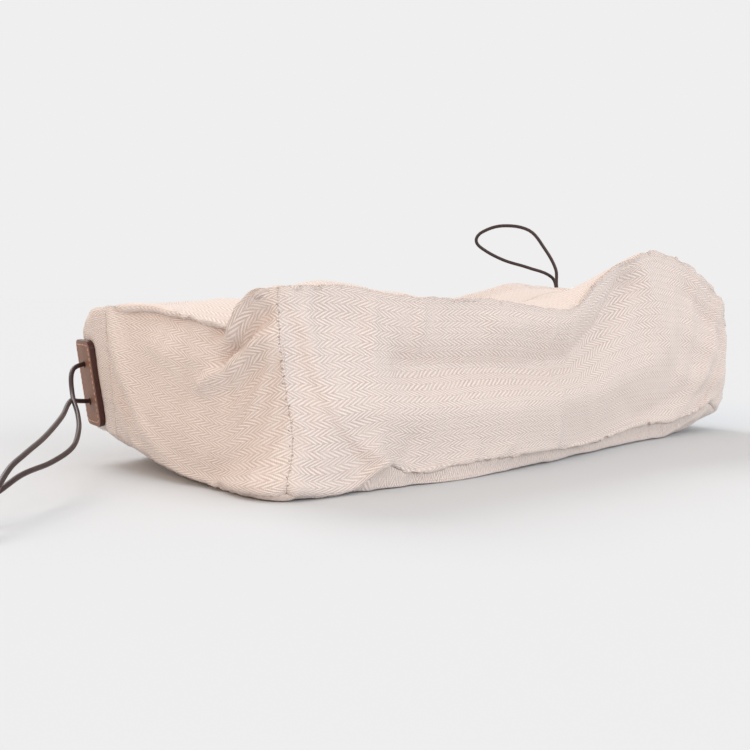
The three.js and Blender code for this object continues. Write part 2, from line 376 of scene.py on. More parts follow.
def leanMatrix(side):
    # the left end leans out a little at its top, and its patch with it
    if side > 0:
        return trimMatrix(side)
    up = Matrix.Translation((0, 0, trim["leanFrom"]))
    return trimMatrix(side) @ up @ Matrix.Rotation(trim["lean"], 4, "Y") @ up.inverted()


# cords

cord = {
    "diameter": 2.5 * mm, "inside": 0.9 * mm, "straight": 4 * mm, "roundness": 3, "drawnOver": 25 * mm,
    "channelY": 79.5, "fromCorner": 9, "fromHole": 6,
}

leftRoute = [
    (-212, 78.5, 51), (-219, 67, 40), (-227, 48, 31), (-237, 30, 25.5), (-250, 13, 20), (-272, -7, 17),
    (-296, -26, 16), (-312, -37, 12), (-330, -43, 5), (-346, -50, 1.6), (-354, -61, 1.6), (-349, -72, 1.6),
    (-337, -72, 4), (-323, -55, 13), (-308, -39, 21), (-295, -27, 24.5), (-274, -5, 28), (-248, 26, 33),
    (-230, 52, 36), (-218, 69, 36.5), (-211, 77.5, 35),
]

rightRoute = [
    (208, 84, 61), (209, 84, 76), (205.8, 86, 97), (205.3, 86.6, 110), (198.8, 92.6, 126),
    (190, 100.5, 139.5), (176, 115, 143), (165, 126.5, 138), (163, 130, 131.5), (168, 126.5, 125),
    (180, 116.5, 117), (193, 104, 111.5), (207, 91.5, 104), (210.5, 89.5, 92), (213, 90, 70),
    (212, 87.5, 50), (208, 85, 38),
]


def smoothRoute(points, perSpan=6):
    # bezier spans whose handles lie along each point's neighbours
    tangents = []
    for i in range(len(points)):
        before, after = points[max(i - 1, 0)], points[min(i + 1, len(points) - 1)]
        tangents.append((after - before).normalized())
    route = []
    for i in range(len(points) - 1):
        a, b = points[i], points[i + 1]
        reach = (b - a).length / 3
        leave, arrive = a + tangents[i] * reach, b - tangents[i + 1] * reach
        route += geometry.interpolate_bezier(a, leave, arrive, b, perSpan + 1)[:-1]
    route.append(points[-1])
    return route


def makeCordTube(name, route):
    data = bpy.data.curves.new(name, "CURVE")
    data.dimensions = "3D"
    data.bevel_depth = cord["diameter"] / 2
    data.bevel_resolution = cord["roundness"]
    data.use_fill_caps = True
    spline = data.splines.new("POLY")
    spline.points.add(len(route) - 1)
    for point, place in zip(spline.points, route):
        point.co = (*place, 1)
    curve = bpy.data.objects.new(name + "Line", data)
    scene.collection.objects.link(curve)
    bpy.context.view_layer.update()
    mesh = bpy.data.meshes.new_from_object(curve.evaluated_get(bpy.context.evaluated_depsgraph_get()))
    mesh.name = name
    bpy.data.objects.remove(curve)
    piece = addObject(name, mesh)
    shadeSmooth(piece)
    mesh.materials.clear()
    mesh.materials.append(plain["cordLeather"])
    return piece


def routeLength(route):
    return sum((b - a).length for a, b in zip(route, route[1:]))


def makeLoop(side, middle):
    label = "Right" if side > 0 else "Left"
    upper, lower = trim["upperHole"], trim["lowerHole"]
    points = [holePoint(side, upper, -cord["inside"]), holePoint(side, upper, cord["straight"])]
    points += [Vector(p) * mm for p in middle]
    points += [holePoint(side, lower, cord["straight"]), holePoint(side, lower, -cord["inside"])]
    route = smoothRoute(points)
    piece = makeCordTube("cordLoop" + label, route)
    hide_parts("cord_loop_" + label.lower())
    outward = trimMatrix(side).to_3x3() @ Vector((1, 0, 0))
    start = holePoint(side, upper, 0)
    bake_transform(piece, "bag", label.lower() + "_loop", start=start, end=start + outward * cord["drawnOver"])
    print(piece.name, round(routeLength(route), 4), "m")


makeLoop(-1, leftRoute)
makeLoop(1, rightRoute)
print("cord loops ready")


# the outline of the bag, in millimetres like a pattern cutter's drawing

bag = {
    "halfLength": -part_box("base_panel")[0].x / mm, "base": -68.0, "mouth": 92.0, "height": 88.0,
    "rounding": 9.0, "mouthRounding": 5.5, "footRounding": 4.0,
    "hemLine": 57.0, "thickness": 1.1, "clear": 0.5, "cell": 2.5,
}

# heights of the upper panel: along its seam with the base panel, as (x, z), and along the left end,
# as (y, z)
frontTop = [
    (-200, 97), (-172, 99.5), (-150, 97.5), (-128, 94.5), (-107, 93.5), (-52, 92), (-15, 88), (12, 88),
    (42, 103), (70, 115), (98, 124), (122, 123), (148, 117), (172, 106), (188, 96), (200, 89),
]
leftTop = [
    (-78, 99), (-55, 93), (-38, 78), (-18, 80), (10, 86.5), (24, 88), (56, 85.5), (76, 81), (92, 73),
]

# soft rises and dips: the height of each, then its middle and reach along x and along y
mouthRises = [(13, (172, 55), (82, 60)), (6, (-150, 55), (0, 50))]
topRises = [
    (-2.5, (-70, 60), (20, 50)), (-2, (40, 60), (30, 40)), (9.5, (-120, 24), (-36, 18)),
    (4, (-165, 18), (-40, 18)),
]


def along(points, t):
    # a smooth line through a short list of points
    if t <= points[0][0]:
        return points[0][1]
    for i in range(len(points) - 1):
        (x0, y0), (x1, y1) = points[i], points[i + 1]
        if t <= x1:
            before, after = points[max(i - 1, 0)], points[min(i + 2, len(points) - 1)]
            m0 = (y1 - before[1]) / (x1 - before[0])
            m1 = (after[1] - y0) / (after[0] - x0)
            h = x1 - x0
            s = (t - x0) / h
            return (y0 * (2 * s**3 - 3 * s**2 + 1) + y1 * (3 * s**2 - 2 * s**3)
                    + h * m0 * (s**3 - 2 * s**2 + s) + h * m1 * (s**3 - s**2))
    return points[-1][1]


def rises(table, x, y):
    return sum(height * bump(x, *alongX) * bump(y, *alongY) for height, alongX, alongY in table)


topLevel = {"plain": 87, "frontReach": 75, "leftEnd": (-202, 26)}


def upperSurface(x, y):
    middle = topLevel["plain"] + rises(mouthRises, x, y)
    z = mix(middle, along(frontTop, x), ease(-y, 0, topLevel["frontReach"]))
    z += rises(topRises, x, y)
    return mix(z, along(leftTop, y), bump(x, *topLevel["leftEnd"]))


underLevel = {
    "left": 18, "leftEnd": (-202, 40), "leftRun": (-45, 85),
    "right": 12, "rightRun": (118, 192), "rightFront": (-75, 60),
}


def lowerSurface(x, y):
    # both ends curl up off the floor, the left one towards the mouth and the right one at the front
    left = underLevel["left"] * bump(x, *underLevel["leftEnd"]) * ease(y, *underLevel["leftRun"])
    right = underLevel["right"] * ease(x, *underLevel["rightRun"]) * bump(y, *underLevel["rightFront"])
    return left + right


belly = {
    "out": 24.0, "leftLoss": 0.6, "leftEnd": -200, "leftReach": 26, "fade": (-60, 125),
    "topLoss": 0.42, "topRun": (20, 90),
}


def frontSurface(x, z):
    # the base panel bellies out, less at its left end and its top, and not at all at its right end
    spread = 1 - belly["leftLoss"] * math.exp((belly["leftEnd"] - x) / belly["leftReach"])
    spread *= 1 - ease(x, *belly["fade"])
    return bag["base"] - belly["out"] * spread * (1 - belly["topLoss"] * ease(z, *belly["topRun"]))


endCurve = {"swell": 5, "turnsAt": 66}


def endSurface(y):
    # an end panel swells a little and turns in at its hem
    depth = bag["mouth"] - bag["base"]
    swell = endCurve["swell"] * math.sin(math.pi * (min(y, endCurve["turnsAt"]) - bag["base"]) / depth)
    return bag["halfLength"] + swell - math.tan(trim["turn"]) * max(y - endCurve["turnsAt"], 0)


pull = {"all": 5, "top": 3, "topAt": (98, 18), "foot": 7, "footAt": (5, 18), "near": (-75, 45)}


def rightPull(y, z):
    # the near right corner is drawn in, more so at its top and foot
    amount = pull["all"] + pull["top"] * bump(z, *pull["topAt"]) + pull["foot"] * bump(z, *pull["footAt"])
    return amount * bump(y, *pull["near"])


# the lower front seam stands above the floor, and waves a little along x
frontSeam = {
    "height": 8.0, "climb": (-178, -142), "drop": 10, "returns": 45,
    "forward": 0.65, "forwardAt": (-100, 45),
    "waves": [(4.5, -150, 10), (4.0, 90, 42), (-1.0, -130, 12), (1.2, -30, 30)],
}


def seamLift(x):
    waves = sum(height * bump(x, at, reach) for height, at, reach in frontSeam["waves"])
    return frontSeam["height"] * ease(x, *frontSeam["climb"]) + waves


def seamDrop(x, behindSeam, lift):
    # below its raised seam the cloth drops almost straight to the floor
    drop, returns = frontSeam["drop"], frontSeam["returns"]
    forward = min(behindSeam, drop) * (1 - ease(behindSeam, drop, returns))
    forward *= 1 + frontSeam["forward"] * bump(x, *frontSeam["forwardAt"])
    return min(lift / frontSeam["height"], 1) * forward


# folds: ridges and hollows in the cloth, each with its push outwards, its width and its line.
# a place is (y, z) on an end panel, (x, z) on the base panel and (x, y) on the upper panel
leftFolds = [
    (7.2, 4, [(-66, 94), (-52, 87), (-46, 79), (-41, 70)]),
    (-6, 5.5, [(-50, 92), (-38, 80), (-30, 75)]),
    (-11.5, 4.6, [(-42, 67), (-36, 61)]),
    (-4.6, 4, [(-64, 81), (-48, 69)]),
    (5.6, 4.2, [(-68, 74), (-54, 66), (-33, 54), (-24, 48)]),
    (-2.6, 6.5, [(-60, 57), (-38, 44)]),
    (1.8, 8, [(-30, 62), (-6, 60), (20, 66)]),
    (1.8, 12, [(-10, 30), (30, 22)]),
    (-5, 13, [(-2, 82), (24, 86), (50, 84)]),
    (1.5, 10, [(-60, 20), (-20, 16)]),
]
frontFolds = [
    (-10.5, 9.5, [(-125, 56), (-39, 51), (14, 54), (52, 70), (76, 96)]),
    (5, 15, [(-170, 38), (-55, 33), (35, 36), (95, 48)]),
    (2.5, 7, [(-60, 76), (0, 74), (30, 82)]),
    (4.5, 15, [(84, 112), (104, 86), (118, 60)]),
    (-3.5, 6, [(146, 92), (184, 66)]),
    (1.8, 6, [(128, 72), (180, 50)]),
    (2.5, 8, [(140, 38), (186, 36)]),
    (-1.6, 6, [(120, 24), (180, 26)]),
    (2.4, 5, [(-154, 22), (-151, 9)]),
    (-2.2, 5.5, [(-129, 22), (-137, 9)]),
    (1.5, 8, [(-192, 34), (-176, 14)]),
    (-1.5, 6, [(-186, 84), (-150, 76)]),
]
upperFolds = [
    (-5, 9, [(-196, -42), (-160, -36), (-118, -42)]),
    (3, 8, [(-192, -58), (-150, -66), (-110, -60)]),
    (2.5, 14, [(-150, 30), (-60, 10), (0, -20)]),
    (3, 12, [(30, 40), (110, 0), (150, -30)]),
    (-3, 10, [(10, 10), (70, -30)]),
    (-2, 9, [(130, 60), (190, 30)]),
    (2.2, 7, [(150, -56), (188, -30)]),
]
rightFolds = [
    (3, 7, [(-60, 70), (-20, 52), (20, 50)]),
    (-3.5, 6, [(-60, 52), (-30, 38)]),
    (-2.5, 7, [(0, 78), (40, 66)]),
    (2, 8, [(-50, 20), (10, 16)]),
]
foldSharpness = 1.5    # 2 gives round folds, 1 gives sharp creases
foldFade = {"front": (0, 16), "upper": (0, 20), "seam": (0, 10), "hem": (40, 55)}


def foldPush(folds, u, v):
    total = 0.0
    point = Vector((u, v))
    for push, width, line in folds:
        distances = []
        for a, b in zip(line, line[1:]):
            a, step = Vector(a), Vector(b) - Vector(a)
            t = min(max((point - a).dot(step) / step.length_squared, 0), 1)
            distances.append((point - a - step * t).length)
        total += push * math.exp(-((min(distances) / width) ** foldSharpness))
    return total


roundingRun = {"mouth": (20, 60), "foot": 22, "footEnds": (4, 40)}


def roundBox(p):
    # rounds every sewn edge of the flat box, but not the mouth
    half, height = bag["halfLength"], bag["height"]
    r = bag["rounding"] - (bag["rounding"] - bag["mouthRounding"]) * ease(p.y, *roundingRun["mouth"])
    sharper = bump(p.y, bag["base"], roundingRun["foot"]) * bump(p.z, 0, roundingRun["foot"])
    sharper *= ease(half - abs(p.x), *roundingRun["footEnds"])
    r -= (bag["rounding"] - bag["footRounding"]) * sharper
    inner = Vector((
        min(max(p.x, -half + r), half - r), max(p.y, bag["base"] + r), min(max(p.z, r), height - r),
    ))
    out = p - inner
    return inner + out.normalized() * r if out.length > 1e-6 else p.copy()


# the near left foot spreads on the floor, and the seam above it slants to the right: moves along x and y,
# and how far each reaches along x, y and z
nearCorner = {
    "spread": (-13, -5), "spreadReach": (30, 30, 17), "slant": (6, -2), "slantReach": (12, 12, 36),
}


def shapeCorner(flat, p, z):
    half, base = bag["halfLength"], bag["base"]
    reach = nearCorner["spreadReach"]
    spread = bump(p.x, -half, reach[0]) * bump(p.y, base + 8, reach[1]) * bump(z, 1, reach[2])
    reach = nearCorner["slantReach"]
    slant = bump(flat.x, -half, reach[0]) * bump(flat.y, base, reach[1]) * bump(z, 0, reach[2])
    return [a * spread + b * slant for a, b in zip(nearCorner["spread"], nearCorner["slant"])]


shapeRun = {"lift": (0, 25), "pullFrom": 60, "leanFrom": 120, "leanDepth": (30, 76)}


def shapeBag(flat):
    # flat is a place on the plain box; the result is where the cloth lies
    p = roundBox(flat)
    half = bag["halfLength"]
    depth = (p.y - bag["base"]) / (bag["mouth"] - bag["base"])
    level = p.z / bag["height"]
    z = mix(lowerSurface(p.x, p.y), upperSurface(p.x, p.y), level)
    y = mix(frontSurface(p.x, z), bag["mouth"], depth)
    z = mix(lowerSurface(p.x, y), upperSurface(p.x, y), level)
    behindSeam = flat.y - bag["base"]
    lift = seamLift(p.x) * ease(half - abs(flat.x), *shapeRun["lift"])
    nearFoot = (1 - level) ** 3
    z += lift * nearFoot * (1 - ease(behindSeam, 0, frontSeam["drop"]))
    y -= nearFoot * seamDrop(p.x, behindSeam, lift)
    x = p.x / half * endSurface(y)
    if p.x > 0:
        x -= rightPull(y, z) * ease(p.x, shapeRun["pullFrom"], half)
    else:
        lean = math.tan(trim["lean"]) * (z - trim["leanFrom"] / mm)
        x -= lean * ease(y, *shapeRun["leanDepth"]) * ease(-p.x, shapeRun["leanFrom"], half)
    moveX, moveY = shapeCorner(flat, p, z)
    return Vector((x + moveX, y + moveY, z))


def pushFolds(flat, p):
    # each panel's folds fade out towards its edges
    half, height = bag["halfLength"], bag["height"]
    if flat.y <= bag["base"] + 0.01:
        p.y -= foldPush(frontFolds, p.x, p.z) * ease(half - abs(flat.x), *foldFade["front"])
    elif abs(flat.x) >= half - 0.01:
        folds, side = (rightFolds, 1) if flat.x > 0 else (leftFolds, -1)
        fade = ease(flat.y - bag["base"], *foldFade["seam"]) * (1 - ease(flat.y, *foldFade["hem"]))
        p.x += side * foldPush(folds, p.y, p.z) * fade
    elif flat.z >= height - 0.01:
        p.z += foldPush(upperFolds, p.x, p.y) * ease(half - abs(flat.x), *foldFade["upper"])
    return p


ripples = {
    "seam": 0.9, "seamReach": 6, "hem": 0.55, "hemReach": 5, "all": 0.12, "scales": (0.17, 0.4),
    "broad": 1.2, "broadScale": 0.035,
}


def pucker(flat, p, normal):
    # fine ripples across each seam and the hem's stitch line, where the thread gathers the cloth
    half, height = bag["halfLength"], bag["height"]
    away = sorted([half - abs(flat.x), flat.y - bag["base"], min(flat.z, height - flat.z)])[1]
    nearSeam = math.exp(-away / ripples["seamReach"])
    nearHem = math.exp(-abs(flat.y - bag["hemLine"]) / ripples["hemReach"])
    coarse, fine = ripples["scales"]
    ripple = noise.noise(flat * coarse) + 0.5 * noise.noise(flat * fine + Vector((9, 4, 2)))
    ripple *= ripples["seam"] * nearSeam + ripples["hem"] * nearHem + ripples["all"]
    return p + normal * (ripple + noise.noise(flat * ripples["broadScale"]) * ripples["broad"])


# the two directions of each wall's flat pattern; the ribs of the weave turn back along the second
walls = {
    "base": ("x", "z"), "left": ("y", "z"), "right": ("y", "z"), "upper": ("y", "x"), "lower": ("y", "x"),
}
wallNames = list(walls)


def makeFlatBox():
    # five grids, one for each panel, welded along the seams
    half, height = bag["halfLength"], bag["height"]
    length, depth = 2 * half, bag["mouth"] - bag["base"]
    middleY = (bag["mouth"] + bag["base"]) / 2
    shift = Matrix.Translation
    upright = Matrix.Rotation(math.radians(90), 4, "X")
    turned = Matrix.Rotation(math.radians(90), 4, "Z")
    faceDown = Matrix.Rotation(math.pi, 4, "X")
    plans = {
        "base": (length, height, shift((0, bag["base"], height / 2)) @ upright),
        "right": (depth, height, shift((half, middleY, height / 2)) @ turned @ upright),
        "left": (depth, height, shift((-half, middleY, height / 2)) @ turned.inverted() @ upright),
        "upper": (length, depth, shift((0, middleY, height))),
        "lower": (length, depth, shift((0, middleY, 0)) @ faceDown),
    }
    bm = bmesh.new()
    uv = bm.loops.layers.uv.new("flat")
    wall = bm.faces.layers.int.new("wall")
    for name, (width, tall, place) in plans.items():
        before = set(bm.faces)
        across, up = round(width / bag["cell"]), round(tall / bag["cell"])
        grid = bmesh.ops.create_grid(bm, x_segments=across, y_segments=up, size=0.5)
        bmesh.ops.transform(bm, matrix=place @ Matrix.Diagonal((width, tall, 1, 1)), verts=grid["verts"])
        for face in set(bm.faces) - before:
            face[wall] = wallNames.index(name)
            for loop in face.loops:
                loop[uv].uv = [getattr(loop.vert.co, axis) * mm for axis in walls[name]]
    bmesh.ops.remove_doubles(bm, verts=bm.verts, dist=0.01)
    bmesh.ops.recalc_face_normals(bm, faces=bm.faces)
    return bm


def wallsAt(flat):
    # the walls that meet at a place on the flat box: two of them at a seam
    found = set()
    if flat.y < bag["base"] + 0.01:
        found.add("base")
    if abs(flat.x) > bag["halfLength"] - 0.01:
        found.add("right" if flat.x > 0 else "left")
    if flat.z > bag["height"] - 0.01:
        found.add("upper")
    if flat.z < 0.01:
        found.add("lower")
    return found


# a hold is how firmly a point keeps its place, and the cap is the most that it may move
settle = {"frames": 22, "cap": 5.0 * mm, "seamHold": 0.5, "clothHold": 0.03, "weight": 0.4}
canvasFeel = {
    "quality": 5, "mass": 0.2, "tension_stiffness": 12, "compression_stiffness": 12, "shear_stiffness": 6,
    "bending_stiffness": 0.35, "vertex_group_mass": "hold", "pin_stiffness": 1.0, "shrink_min": -0.028,
}


def settleCloth(bm, flats):
    # the cloth is a little larger than its seams, so it buckles softly between them
    piece = addObject("bagCloth", meshFrom(bm.copy(), "bagCloth"))
    hold = piece.vertex_groups.new(name="hold")
    half = bag["halfLength"]
    for i, flat in enumerate(flats):
        weight = settle["seamHold"] if len(wallsAt(flat)) > 1 else settle["clothHold"]
        if flat.y > bag["mouth"] - 1 or (abs(flat.x) > half - 1 and flat.y > bag["hemLine"] - 1):
            weight = 1.0
        hold.add([i], weight, "REPLACE")
    cloth = piece.modifiers.new("settle", "CLOTH")
    for label, value in canvasFeel.items():
        setattr(cloth.settings, label, value)
    cloth.settings.effector_weights.gravity = settle["weight"]
    cloth.collision_settings.use_collision = False
    cloth.point_cache.frame_end = settle["frames"]
    for number in range(1, settle["frames"] + 1):
        scene.frame_set(number)
    settled = piece.evaluated_get(bpy.context.evaluated_depsgraph_get()).to_mesh()
    moved = [v.co.copy() for v in settled.vertices]
    scene.frame_set(1)
    bpy.data.objects.remove(piece)
    return moved


def makeShell():
    bm = makeFlatBox()
    bm.verts.ensure_lookup_table()
    flats = [v.co.copy() for v in bm.verts]
    for v, flat in zip(bm.verts, flats):
        v.co = shapeBag(flat) * mm
    bm.normal_update()
    for v, place in zip(bm.verts, settleCloth(bm, flats)):
        step = place - v.co
        if step.length > settle["cap"]:
            step *= settle["cap"] / step.length
        v.co += step
    for v, flat in zip(bm.verts, flats):
        v.co = pushFolds(flat, v.co / mm) * mm
    bm.normal_update()
    rippled = [pucker(flat, v.co / mm, v.normal) * mm for v, flat in zip(bm.verts, flats)]
    for v, place in zip(bm.verts, rippled):
        v.co = place
        v.co.z = max(v.co.z, bag["clear"] * mm)
    bm.normal_update()
    return bm, flats, [v.normal.copy() for v in bm.verts]


shell, flatPlaces, shellNormals = makeShell()
print("bag shell shaped,", len(shell.verts), "points")


wallInward = {
    "base": (0, 1, 0), "left": (1, 0, 0), "right": (-1, 0, 0), "upper": (0, 0, -1), "lower": (0, 0, 0.45),
}


def intoBag(names):
    # the way from a seam between these walls into the bag; it stays low over the lower panel
    return sum((Vector(wallInward[name]) for name in sorted(names)), Vector()).normalized()


def lineAlong(chosen, axis):
    # the shell's points that pass a test, in order along one axis, as (place, normal)
    rows = [(getattr(flat, axis), v.co.copy(), normal)
            for v, flat, normal in zip(shell.verts, flatPlaces, shellNormals) if chosen(flat)]
    rows.sort(key=lambda row: row[0])
    return [(place, normal) for at, place, normal in rows]


def seamLine(first, second, axis):
    # with the direction that leads into the bag between its two panels, turned outwards
    rows = lineAlong(lambda flat: {first, second} <= wallsAt(flat), axis)
    return [(place, -intoBag({first, second})) for place, normal in rows]


seamAxes = {
    "base_upper": "x", "base_lower": "x", "base_left": "z", "base_right": "z",
    "upper_left": "y", "upper_right": "y", "lower_left": "y", "lower_right": "y",
}
seams = {key: seamLine(*key.split("_"), axis) for key, axis in seamAxes.items()}


def cutPiece(wallName, beyondHem):
    # one wall of the shell, up to the hem line or from it to the mouth
    bm = shell.copy()
    wall = bm.faces.layers.int["wall"]
    index = wallNames.index(wallName)
    bm.verts.ensure_lookup_table()
    origin = {v: v.index for v in bm.verts}
    doomed = []
    for face in bm.faces:
        centre = sum(flatPlaces[origin[v]].y for v in face.verts) / len(face.verts)
        if face[wall] != index or (centre > bag["hemLine"]) != beyondHem:
            doomed.append(face)
    bmesh.ops.delete(bm, geom=doomed, context="FACES")
    return bm, {v: origin[v] for v in bm.verts}


def drawOut(bm, edges, placeOf):
    # extrudes an open edge of the cloth and carries its flat pattern along
    uv = bm.loops.layers.uv["flat"]
    given = {v: v.link_loops[0][uv].uv.copy() for e in edges for v in e.verts}
    made = bmesh.ops.extrude_edge_only(bm, edges=edges)["geom"]
    fresh = {}
    for v in [g for g in made if isinstance(g, bmesh.types.BMVert)]:
        fresh[v] = next(e.other_vert(v) for e in v.link_edges if e.other_vert(v) in given)
    for v, old in fresh.items():
        v.co = placeOf(old)
    for face in [g for g in made if isinstance(g, bmesh.types.BMFace)]:
        olds = [v for v in face.verts if v in given]
        run = given[olds[0]] - given[olds[-1]]
        way = Vector((0, 1)) if abs(run.x) > abs(run.y) else Vector((1, 0))
        for loop in face.loops:
            if loop.vert in fresh:
                old = fresh[loop.vert]
                loop[uv].uv = given[old] + way * (loop.vert.co - old.co).length
            else:
                loop[uv].uv = given[loop.vert]
    return [g for g in made if isinstance(g, bmesh.types.BMEdge)], fresh


def applyModifiers(piece):
    deps = bpy.context.evaluated_depsgraph_get()
    mesh = bpy.data.meshes.new_from_object(piece.evaluated_get(deps))
    piece.modifiers.clear()
    piece.data = mesh


def finishCloth(name, bm, body, cadNodes):
    piece = addObject(name, meshFrom(bm, name))
    piece.data.materials.append(canvas)
    smooth = piece.modifiers.new("smooth", "SUBSURF")
    smooth.levels = smooth.render_levels = 1
    wallThickness = piece.modifiers.new("thickness", "SOLIDIFY")
    wallThickness.thickness = bag["thickness"] * mm
    wallThickness.offset = -1
    applyModifiers(piece)
    shadeSmooth(piece)
    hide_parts(*cadNodes)
    if body:
        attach(piece, body)
    return piece


allowance = {"groove": 0.1, "depths": (0.35, 5.0)}


def turnSeamsIn(bm, origin):
    # the raw edge of each sewn side goes into the bag, against its neighbour's
    edges = [e for e in bm.edges if e.is_boundary
             and not all(abs(flatPlaces[origin[v]].y - bag["hemLine"]) < 0.1 for v in e.verts)]
    start, inward = {}, {}
    for v in {v for e in edges for v in e.verts}:
        inward[v] = intoBag(wallsAt(flatPlaces[origin[v]]))
        start[v] = v.co.copy()
        v.co += inward[v] * allowance["groove"] * mm
    for depth in allowance["depths"]:
        edges, fresh = drawOut(bm, edges, lambda old: start[old] + inward[old] * depth * mm)
        start = {v: start[old] for v, old in fresh.items()}
        inward = {v: inward[old] for v, old in fresh.items()}
    return bm


panelNodes = {
    "base": ("basePanel", "bag", ["base_panel"]),
    "left": ("endPanelLeft", "bag", ["end_panel_left"]),
    "right": ("endPanelRight", "bag", ["end_panel_right"]),
    "upper": ("sidePanelUpper", None, ["side_panel_upper", "mouth_lip_upper"]),
    "lower": ("sidePanelLower", None, ["side_panel_lower", "mouth_lip_lower"]),
}

panels = {}
for wallName, (name, body, nodes) in panelNodes.items():
    panels[wallName] = finishCloth(name, turnSeamsIn(*cutPiece(wallName, False)), body, nodes)
print("panels ready")


# the hem: the cloth folds in over the mouth and is sewn down inside, which leaves a channel for the cord
hemFold = {"channel": 5.6, "edgeReach": 1.4, "steps": 9, "closed": 0.55, "closesFrom": 0.7, "corner": 1.3}


def makeHem(wallName, body):
    bm, origin = cutPiece(wallName, True)
    axis = walls[wallName][1]
    columns = {}
    for v, index in origin.items():
        flat = flatPlaces[index]
        key = round(getattr(flat, axis), 1)
        corner = wallsAt(flat)
        outward = -intoBag(corner) * hemFold["corner"] if len(corner) > 1 else shellNormals[index]
        columns.setdefault(key, []).append((flat.y, v.co.copy(), outward))
    for column in columns.values():
        column.sort(key=lambda item: -item[0])
    edges = [e for e in bm.edges if e.is_boundary
             and all(flatPlaces[origin[v]].y > bag["mouth"] - 0.1 for v in e.verts)]
    keys = {v: round(getattr(flatPlaces[origin[v]], axis), 1) for e in edges for v in e.verts}
    for step in range(1, hemFold["steps"] + 1):
        edges, fresh = drawOut(bm, edges, lambda old: foldedPlace(columns[keys[old]], step))
        keys = {v: keys[old] for v, old in fresh.items()}
    name, node = "mouthHem" + wallName.capitalize(), "mouth_hem_" + wallName
    return finishCloth(name, bm, body, [node])


def foldedPlace(column, step):
    # the inside layer follows the outside one, a channel's depth behind it
    mouth, mouthNormal = column[0][1], column[0][2]
    if step == 1:
        beyond = (mouth - column[1][1]).normalized()
        return mouth + (beyond * hemFold["edgeReach"] - mouthNormal * hemFold["channel"] * 0.5) * mm
    t = (step - 2) / (hemFold["steps"] - 2)
    at = t * (len(column) - 1)
    low = min(int(at), len(column) - 2)
    place = column[low][1].lerp(column[low + 1][1], at - low)
    normal = column[low][2].lerp(column[low + 1][2], at - low)
    depth = hemFold["channel"] * (1 - hemFold["closed"] * ease(t, hemFold["closesFrom"], 1.0))
    return place - normal * depth * mm


levels, ends = ("upper", "lower"), ("left", "right")
hems = {level: makeHem(level, None) for level in levels}
hems.update({end: makeHem(end, "bag") for end in ends})
print("hems ready")

# where the lips fold as the mouth closes; the corners stay with the end panels
lipFold = {"start": -30 * mm, "end": 34 * mm, "full": 50 * mm, "still": 192 * mm}


def bendLip(piece, level):
    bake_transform(piece, "bag", level + "_lip", start=(0, lipFold["start"], 0), end=(0, lipFold["end"], 0))
    weights = piece.data.attributes["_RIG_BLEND"].data
    for v, weight in zip(piece.data.vertices, weights):
        weight.value *= 1 - ease(abs(v.co.x), lipFold["full"], lipFold["still"])


for level in levels:
    bendLip(panels[level], level)
    bendLip(hems[level], level)


# stitches

seamStitch = {
    "pitch": 3.6, "length": 1.5, "width": 0.8, "sway": 1.1, "aside": 0.75, "sunk": 0.26, "ends": 5.0,
}
hemStitch = {"pitch": 3.4, "length": 2.3, "width": 0.55, "sunk": 0.08, "ends": 3.0}
patchStitch = {"pitch": 3.0, "length": 2.1, "width": 0.62, "inset": 2.4, "ends": 0.2}
outsideCloth = 1.5    # stitches are dropped onto the cloth from this far outside it


def stations(line, pitch, margin):
    # evenly spaced (place, direction, normal) along a line of points
    found, walked, due = [], 0.0, margin * mm
    total = sum((b[0] - a[0]).length for a, b in zip(line, line[1:]))
    for (a, normal), (b, _) in zip(line, line[1:]):
        span = (b - a).length
        while due < walked + span and due < total - margin * mm:
            place = a.lerp(b, (due - walked) / span)
            found.append((place, (b - a).normalized(), normal))
            due += pitch * mm
        walked += span
    return found


def clothTree():
    bm = bmesh.new()
    for piece in (*panels.values(), *hems.values()):
        bm.from_mesh(piece.data)
    tree = BVHTree.FromBMesh(bm)
    bm.free()
    return tree


clothSurface = clothTree()


def addStitch(bm, place, direction, normal, look):
    across = normal.cross(direction).normalized()
    up = direction.cross(across).normalized()
    turn = Matrix((direction, across, up)).transposed().to_4x4()
    size = Matrix.Diagonal((look["length"] * mm, look["width"] * mm, look["width"] * mm, 1))
    bmesh.ops.create_uvsphere(
        bm, u_segments=6, v_segments=4, radius=0.5,
        matrix=Matrix.Translation(place) @ turn @ size @ Matrix.Rotation(math.radians(90), 4, "Y"),
    )


def finishStitches(name, bm, thread):
    piece = addObject(name, meshFrom(bm, name))
    piece.data.materials.append(plain[thread])
    shadeSmooth(piece)
    return piece


def makeSeamStitches(name, keys, thread):
    # each stitch lies across the seam, to the left and the right of it in turn
    bm = bmesh.new()
    for key in keys:
        spots = stations(seams[key], seamStitch["pitch"], seamStitch["ends"])
        for i, (place, direction, normal) in enumerate(spots):
            across = normal.cross(direction).normalized()
            side = 1 if i % 2 else -1
            slanted = (direction + across * side * seamStitch["sway"]).normalized()
            outside = place + (across * side * seamStitch["aside"] + normal * outsideCloth) * mm
            spot, facing, *rest = clothSurface.find_nearest(outside)
            addStitch(bm, spot - facing * seamStitch["sunk"] * mm, slanted, facing, seamStitch)
    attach(finishStitches(name, bm, thread), "bag")


def makeHemStitches(wallName):
    def onHemLine(flat):
        return wallName in wallsAt(flat) and abs(flat.y - bag["hemLine"]) < 0.1

    line = lineAlong(onHemLine, walls[wallName][1])
    bm = bmesh.new()
    for place, direction, normal in stations(line, hemStitch["pitch"], hemStitch["ends"]):
        spot, facing, *rest = clothSurface.find_nearest(place + normal * outsideCloth * mm)
        addStitch(bm, spot - facing * hemStitch["sunk"] * mm, direction, facing, hemStitch)
    return finishStitches("hemStitches" + wallName.capitalize(), bm, "hemThread")


